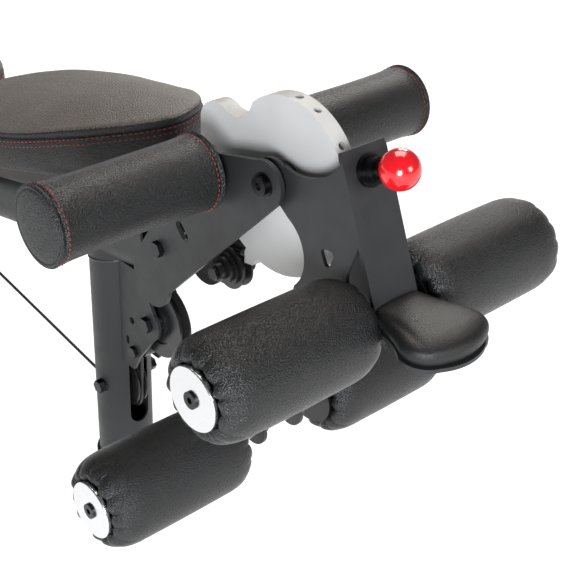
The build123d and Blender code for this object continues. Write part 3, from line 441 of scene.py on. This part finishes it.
def make_roller(row, word, x, z, end, length, side, seed):
    outer = end - 0.0056
    inner = outer - length
    cols = 300
    R = 0.0497

    def dent(theta, r, y):
        p = pleat(theta, seed if y > (inner + outer) / 2 else seed + 50, 14)
        from_end = min(y - inner, outer - y)
        sign = 1 if y > (inner + outer) / 2 else -1
        near = math.exp(-max(0.0, r - 0.030) / 0.0075) if from_end < 0.03 else 0.0
        fade = math.exp(-max(0.0, from_end) / 0.012)
        dy = sign * (p - 0.8) * 0.0062 * near
        dr = (p - 0.75) * 0.0032 * fade * (0.35 + near) if r > 0.033 else 0 * theta
        rng = np.random.default_rng(seed + 9)
        slow = sum(rng.uniform(-1, 1) * np.sin(k * theta + rng.uniform(0, 6.28) + y * rng.uniform(-40, 40))
                   for k in (1, 2, 3, 5))
        return dr + slow * 0.00016, dy

    prof = []
    cap = [(0.0135, -0.0030), (0.024, -0.0022), (0.0288, -0.0012), (0.0312, 0.0008), (0.0345, 0.0022),
           (0.0375, 0.0016), (0.0408, -0.0010), (0.0442, -0.0052), (0.0470, -0.0108), (0.0488, -0.0180),
           (R, -0.0260)]
    path = smooth_path(cap, 4)
    for r, y in path:
        prof.append((r, outer + y))
    for f in np.linspace(0, 1, 26)[1:-1]:
        y = (outer - 0.026) * (1 - f) + (inner + 0.026) * f
        prof.append((R + 0.0004 * math.sin(f * math.pi), y))
    for r, y in path[::-1]:
        prof.append((r, inner - (y * (0.4 if y > 0 else 1.0))))
    obj = turned(f"cover_{row}_{word}", x, z, prof, MATS["roller"], f"{row}_{word}_roller",
                 side, cols, dent)
    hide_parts(f"roller_{row}_{word}")


# ---- thigh pads ------------------------------------------------------------------------------
def make_thigh(word, side):
    x, z = THIGH_X, THIGH_Z
    lo, hi = 0.0502, 0.2358
    end = [(0.0005, 0.0022), (0.012, 0.0021), (0.024, 0.0014), (0.0315, 0.0002), (0.0342, -0.0009),
           (0.0349, -0.0016), (0.0357, -0.0011), (0.0372, -0.0008), (0.0386, -0.0021), (0.0389, -0.0036),
           (0.0382, -0.0052), (0.0374, -0.0060), (0.0381, -0.0075), (0.0385, -0.0100), (0.0381, -0.016),
           (0.0376, -0.026)]
    path = smooth_path(end, 4)
    prof = [(r, hi + y) for r, y in path]
    for f in np.linspace(0, 1, 30)[1:-1]:
        prof.append((0.0376 - 0.0007 * math.sin(f * math.pi), (hi - 0.026) * (1 - f) + (lo + 0.026) * f))
    prof += [(r, lo - y * (1.0 if y < 0 else 0.5)) for r, y in path[::-1] if r > 0.0130]
    # the bore around the tube
    prof += [(0.0129, lo), (0.0129, lo + 0.004)]

    def dent(theta, r, y):
        rng = np.random.default_rng(31 + side)
        slow = sum(rng.uniform(-1, 1) * np.sin(k * theta + rng.uniform(0, 6.28) + y * rng.uniform(-60, 60))
                   for k in (1, 2, 3, 4))
        near = math.exp(-min(abs(y - (hi - 0.006)), abs(y - (lo + 0.006))) / 0.006)
        pull = np.sin(theta * 52) * 0.00010 * near
        return (slow * 0.00028 + pull) * (1.0 if r > 0.02 else 0.2), 0 * theta

    obj = turned(f"cushion_thigh_{word}", x, z, prof, MATS["thigh"], "frame", side, 220, dent)
    # the end panels are a flatter leather than the body
    obj.data.materials.append(MATS["panel"])
    for poly in obj.data.polygons:
        c = poly.center
        r = math.hypot(c.x - x, c.z - z)
        if r < 0.0352 and (abs(c.y) > hi - 0.004 or abs(c.y) < lo + 0.004):
            poly.material_index = 1
    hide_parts(f"thigh_pad_{word}")
    runs = [ring_path(x, z, 0.0387, side * (hi - 0.0092)), ring_path(x, z, 0.0387, side * (lo + 0.0092))]
    capsule_run(f"stitch_thigh_{word}", runs, MATS["thread"], "frame", length=0.0036, gap=0.0018,
                radius=0.00055)
    # welted seam between the end panel and the body
    cols, rows = 200, 8
    verts = []
    for y in (hi - 0.0026, lo + 0.0026):
        for i in range(cols):
            t = 2 * math.pi * i / cols
            for j in range(rows):
                w = 2 * math.pi * j / rows
                r = 0.0387 + 0.0011 * math.cos(w)
                verts.append((x + r * math.cos(t), side * (y + 0.0011 * math.sin(w)), z + r * math.sin(t)))
    faces = grid_faces(cols, rows, close_rows=True)
    faces += [tuple(i + cols * rows for i in f) for f in grid_faces(cols, rows, close_rows=True)]
    make(f"welt_thigh_{word}", verts, faces, MATS["side"], "frame")


# ---- seat and back ---------------------------------------------------------------------------
def closed_curve(half, steps=10):
    """A closed smooth outline from half of it: (u, v) from the nose to the tail."""
    other = [(u, -v) for u, v in half[-2:0:-1]]
    pts = np.array(half + other, float)
    n = len(pts)
    out = []
    for i in range(n):
        four = [pts[(i + k - 1) % n] for k in range(4)]
        out += [between(*four, t) for t in np.linspace(0, 1, steps, endpoint=False)]
    return np.array(out)


def even(curve, count):
    loop = np.vstack([curve, curve[:1]])
    seg = np.linalg.norm(np.diff(loop, axis=0), axis=1)
    total = np.concatenate([[0], np.cumsum(seg)])
    s = np.linspace(0, total[-1], count, endpoint=False)
    return np.c_[np.interp(s, total, loop[:, 0]), np.interp(s, total, loop[:, 1])]


def normals_2d(curve):
    t = np.roll(curve, -1, 0) - np.roll(curve, 1, 0)
    n = np.c_[t[:, 1], -t[:, 0]]
    n /= np.linalg.norm(n, axis=1)[:, None]
    centre = curve.mean(0)
    if ((curve - centre) * n).sum() < 0:
        n = -n
    return n


def upholstered(name, outline, thick, crown, to_world, core, mats, body, node, seams, seed, sag):
    """A seat or back cushion: domed top, rolled edge, sewn side band, flat underside.

    sag is how far the edge drops, where along the cushion that starts and over what length.
    """
    count = 420
    edge = even(outline, count)
    nrm = normals_2d(edge)
    rng = np.random.default_rng(seed)
    phase = rng.uniform(0, 6.28, 8)
    s = np.arange(count) / count * 2 * np.pi
    slow = sum(np.sin(k * s + phase[i]) for i, k in enumerate((3, 5, 8, 13))) * 0.00045
    fade = np.clip((edge[:, 0] - edge[:, 0].min() - sag[1]) / sag[2], 0, 1)
    drop = sag[0] * fade * fade * (3 - 2 * fade)
    # side section: (offset outwards, depth below the top seam), then the dome over the core line
    section = [(-0.008, -thick), (-0.0035, -thick), (-0.0008, -thick + 0.004), (0.0016, -thick * 0.72),
               (0.0022, -thick * 0.5), (0.0016, -thick * 0.3), (0.0004, -0.0105), (-0.0008, -0.0088),
               (0.0004, -0.0070), (0.0006, -0.0030), (-0.0008, -0.0004), (-0.0030, 0.0016)]
    section = smooth_path(section, 3)
    rows = []
    for off, h in section:
        p = edge + nrm * (off + slow * (1 if h > -thick * 0.9 else 0))[:, None]
        rows.append(np.c_[p, h - drop * np.clip(1 + h / thick * 1.4, 0, 1)])
    start = edge + nrm * -0.0030
    for f in list(np.linspace(0, 1, 26)[1:]):
        p = start * (1 - f) + core(start) * f
        rise = 0.0016 + crown * (1 - (1 - f) ** 2.1)
        rise_all = np.full(count, rise) + slow * 0.6 * (1 - f) - drop * (1 - f) ** 2.2
        rows.append(np.c_[p, rise_all])
    pts = np.vstack(rows)
    verts = to_world(pts)
    faces = grid_faces(len(rows), count)
    n = len(rows)
    # close the underside and the ridge where the dome meets itself
    bottom = len(verts)
    middle = to_world(np.array([[edge[:, 0].mean(), 0, -thick]]))
    verts = np.vstack([verts, middle])
    for j in range(count):
        faces.append((bottom, (j + 1) % count, j))
    faces.append(tuple((n - 1) * count + j for j in range(count)))
    obj = make(name, verts, faces, mats[0], body)
    bm = bmesh.new()
    bm.from_mesh(obj.data)
    bmesh.ops.remove_doubles(bm, verts=bm.verts, dist=0.0002)
    bmesh.ops.recalc_face_normals(bm, faces=bm.faces)
    bm.to_mesh(obj.data)
    bm.free()
    obj.data.polygons.foreach_set("use_smooth", [True] * len(obj.data.polygons))
    # mats[0] goes on the top and mats[1] on the rolled edge, side band and underside; for seat and back
    # mats[0] is the black leather painted as a lighter, warm sheen
    obj.data.materials.append(mats[1])
    inverse = to_world(None)
    for poly in obj.data.polygons:
        local = inverse(np.array([list(poly.center)]))[0]
        near = np.argmin(((edge - local[:2]) ** 2).sum(1))
        if local[2] < -0.0008 - drop[near]:
            poly.material_index = 1
    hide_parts(node)
    runs = []
    for depth, off in seams:
        p = edge + nrm * (off + slow)[:, None]
        path = to_world(np.c_[p, -depth - drop])
        tip = to_world(np.c_[p + nrm * 0.01, -depth - drop])
        out = tip - path
        out /= np.linalg.norm(out, axis=1)[:, None]
        runs.append((np.vstack([path, path[:1]]), np.vstack([out, out[:1]])))
    capsule_run(name + "_stitches", runs, MATS["thread"], body, length=0.0040, gap=0.0019,
                radius=0.0006)
    return obj


def plane_map(origin, xdir, zdir):
    """Maps (u, v, h) to the frame; called with None it returns the way back."""
    origin, xdir, zdir = (np.array(a, float) for a in (origin, xdir, zdir))
    ydir = np.array([0.0, 1.0, 0.0])

    def forward(p):
        if p is None:
            return lambda q: np.c_[(q - origin) @ xdir, (q - origin) @ ydir, (q - origin) @ zdir]
        return origin + p[:, :1] * xdir + p[:, 1:2] * ydir + p[:, 2:3] * zdir
    return forward


def make_seat():
    a = math.atan(SEAT_SLOPE)
    to_world = plane_map((PX - 0.186, 0, PZ - 0.006), (-math.cos(a), 0, -math.sin(a)),
                         (-math.sin(a), 0, math.cos(a)))
    half = [(0, 0), (14, 34), (42, 65), (81, 88), (151, 108), (206, 118), (254, 121), (296, 116), (329, 103),
            (354, 82), (378, 54), (400, 25), (408, 0)]
    outline = closed_curve([(u / 1000, v / 1000) for u, v in half])

    def core(p):
        u = np.clip(p[:, 0], 0.11, 0.29)
        return np.c_[0.11 + (u - 0.11) * 0.9 + 0.01, p[:, 1] * 0.06]

    # the top gets the painted sheen, the sides plain black leather
    upholstered("cushion_seat", outline, 0.0548, 0.0125, to_world, core, (MATS["seat"], MATS["side"]), "seat",
                "seat_pad", ((0.0105, 0.0011), (0.0160, 0.0014)), 3, (0.0095, 0.02, 0.16))


def make_back():
    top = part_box("back_pad")[1].z
    f, r, hw = -0.704, -1.430, 0.140
    half = [(f, 0), (f - 0.005, 0.070), (f - 0.028, 0.104), (f - 0.090, 0.126), (f - 0.220, hw),
            (f - 0.480, hw), (r + 0.110, 0.130), (r + 0.034, 0.104), (r + 0.005, 0.060), (r, 0)]
    outline = closed_curve([(-u, v) for u, v in half])
    to_world = plane_map((PX, 0, top), (-1, 0, 0), (0, 0, 1))

    def core(p):
        u = np.clip(p[:, 0], 0.84, 1.30)
        return np.c_[u, p[:, 1] * 0.06]

    # the top gets the painted sheen, the sides plain black leather
    upholstered("cushion_back", outline, 0.0478, 0.0110, to_world, core, (MATS["seat"], MATS["side"]), "back",
                "back_pad", ((0.0105, 0.0011), (0.0160, 0.0014)), 5, (0.004, 0.0, 0.2))


def make_bumper():
    """The front pad: smooth leather pulled over foam, with a soft crease inside its edge."""
    node = frame["nodes"]["foot_pad"]
    lo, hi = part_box("foot_pad")
    mesh = node.data.copy()
    obj = bpy.data.objects.new("cushion_bumper", mesh)
    SCENE.collection.objects.link(obj)
    mesh.materials.clear()
    mesh.materials.append(MATS["bumper"])
    bm = bmesh.new()
    bm.from_mesh(mesh)
    bmesh.ops.remove_doubles(bm, verts=bm.verts, dist=0.00002)
    bmesh.ops.recalc_face_normals(bm, faces=bm.faces)
    bm.to_mesh(mesh)
    bm.free()
    bpy.context.view_layer.objects.active = obj
    mod = obj.modifiers.new("remesh", "REMESH")
    mod.mode, mod.voxel_size = "VOXEL", 0.0022
    with bpy.context.temp_override(object=obj, active_object=obj, selected_objects=[obj]):
        bpy.ops.object.modifier_apply(modifier="remesh")
    mesh = obj.data
    n = len(mesh.vertices)
    co = np.zeros(n * 3)
    mesh.vertices.foreach_get("co", co)
    co = co.reshape(-1, 3)
    edges = np.zeros(len(mesh.edges) * 2, int)
    mesh.edges.foreach_get("vertices", edges)
    edges = edges.reshape(-1, 2)
    degree = np.bincount(edges.ravel(), minlength=n)[:, None]
    lock = co[:, 2] < lo.z + 0.0012
    for _ in range(170):
        total = np.zeros_like(co)
        np.add.at(total, edges[:, 0], co[edges[:, 1]])
        np.add.at(total, edges[:, 1], co[edges[:, 0]])
        new = co * 0.5 + total / np.maximum(degree, 1) * 0.5
        new[lock, 2] = co[lock, 2]
        co = new
    # grow back what smoothing took, dome the top and press a crease along the near edge
    size = np.array([hi.x - lo.x, hi.y - lo.y])
    grow = size / (co.max(0)[:2] - co.min(0)[:2])
    co[:, 0] = (co[:, 0] - co[:, 0].min()) * grow[0] + lo.x
    co[:, 1] *= grow[1]
    u = (co[:, 0] - lo.x) / size[0]
    top = np.clip((co[:, 2] - lo.z) / (co[:, 2].max() - lo.z), 0, 1)
    flat = BUMPER_HEIGHT / (co[:, 2].max() - lo.z)
    co[:, 2] = lo.z + (co[:, 2] - lo.z) * min(1.0, flat)
    co[:, 2] += top * 0.0030 * np.clip(1 - (co[:, 1] / 0.05) ** 2, 0, 1) * np.clip(4 * u * (1.1 - u), 0, 1)
    across = np.exp(-((co[:, 1] + 0.034 - 0.004 * np.sin(u * 6)) / 0.0032) ** 2)
    crease = across * np.clip(np.sin(np.clip(u * 1.15, 0, 1) * np.pi), 0, 1)
    co[:, 2] -= crease * 0.0011 * (top > 0.5)
    co[:, 0] = np.maximum(co[:, 0], lo.x)
    mesh.vertices.foreach_set("co", co.ravel())
    mesh.update()
    mesh.polygons.foreach_set("use_smooth", [True] * len(mesh.polygons))
    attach(obj, "leg_developer")
    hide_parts("foot_pad")


# ---- small metal detail ----------------------------------------------------------------------
def make_cable():
    data = bpy.data.curves.new("steel_cable", "CURVE")
    data.dimensions = "3D"
    spline = data.splines.new("NURBS")
    route = [(0.5467, 0.4294), (0.5229, 0.4260), (0.4997, 0.4071), (0.3945, 0.3212), (0.3620, 0.2946),
             (0.3603, 0.2526), (0.3572, 0.1727), (0.3547, 0.1098), (0.2923, 0.1188), (-0.0068, 0.1622)]
    spline.points.add(len(route) - 1)
    for point, (x, z) in zip(spline.points, route):
        point.co = (x, 0, z, 1)
    spline.order_u = 3
    spline.use_endpoint_u = True
    spline.resolution_u = 12
    data.bevel_depth = CABLE_RADIUS
    data.bevel_resolution = 4
    obj = bpy.data.objects.new("steel_cable", data)
    SCENE.collection.objects.link(obj)
    data.materials.append(MATS["cable"])
    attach(obj, "frame")
    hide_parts("leg_cable")


def make_welds():
    for word, side in SIDES:
        weld(f"weld_thigh_{word}", (THIGH_X, side * 0.0482, THIGH_Z), (0, 1, 0), 0.0128, 0.0013, "frame")
    weld("weld_post", (PX - 0.304, 0, PZ - 0.2205), (0.21, 0, -1), 0.0352, 0.0016, "frame")


def paint():
    """Each CAD node keeps its shape and gets its material."""
    by_slot = {"frame_coat": "coat", "cam_metal": "cam", "cushion": "thigh", "roller_cover": "roller",
               "seat_cover": "side", "bumper": "bumper", "chrome": "chrome", "steel": "steel",
               "fastener": "fastener", "pulley_plastic": "pulley", "red_plastic": "ball",
               "black_plastic": "plastic", "rubber": "rubber", "board": "board", "cord": "cable"}
    slots = {s["node"]: s["material_slot"] for s in frame["record"]["subparts"]}
    for name, obj in frame["nodes"].items():
        mat = MATS[by_slot[slots[name]]]
        if name in ("leg_arm", "foot_pad_plate"):
            mat = MATS["arm"]
        if not obj.material_slots:
            obj.data.materials.append(mat)
        for s in obj.material_slots:
            s.material = mat


# ---- room ------------------------------------------------------------------------------------
def make_room():
    mesh = bpy.data.meshes.new("floor")
    n = FLOOR_HALF
    mesh.from_pydata([(-n, -n, 0), (n, -n, 0), (n, n, 0), (-n, n, 0)], [], [(0, 1, 2, 3)])
    floor = bpy.data.objects.new("floor", mesh)
    SCENE.collection.objects.link(floor)
    m = Mat("pale_floor", (0.25, 0.25, 0.25), 0.9, spec=0.0)
    m.set_color(m.ramp(m.noise(2, 2, 0.5), [(0.2, (0.24, 0.24, 0.24)), (0.8, (0.26, 0.26, 0.26))]))
    m.bsdf.inputs["Emission Color"].default_value = (1, 1, 1, 1)
    m.bsdf.inputs["Emission Strength"].default_value = FLOOR_GLOW
    mesh.materials.append(m.mat)
    world = bpy.data.worlds.new("studio")
    world.use_nodes = True
    world.node_tree.nodes["Background"].inputs["Color"].default_value = (1, 1, 1, 1)
    world.node_tree.nodes["Background"].inputs["Strength"].default_value = SKY_GLOW
    SCENE.world = world
    for name, place, target, size, power, tint in LIGHTS:
        light = bpy.data.lights.new(name, "AREA")
        light.shape, light.size, light.energy = "SQUARE", size, power
        light.color = tint
        obj = bpy.data.objects.new(name, light)
        SCENE.collection.objects.link(obj)
        obj.location = place
        obj.rotation_mode = "QUATERNION"
        obj.rotation_quaternion = (Vector(target) - Vector(place)).to_track_quat("-Z", "Y")
    SCENE.view_settings.view_transform = "Standard"
    SCENE.view_settings.look = "None"


make_camera()
paint()
make_cable()
seed = 11
for row, x, z, end, length in ROLLERS:
    for word, side in SIDES:
        make_roller(row, word, x, z, end, length, side, seed)
        seed += 3
for word, side in SIDES:
    make_thigh(word, side)
make_seat()
make_back()
make_bumper()
make_welds()
make_room()
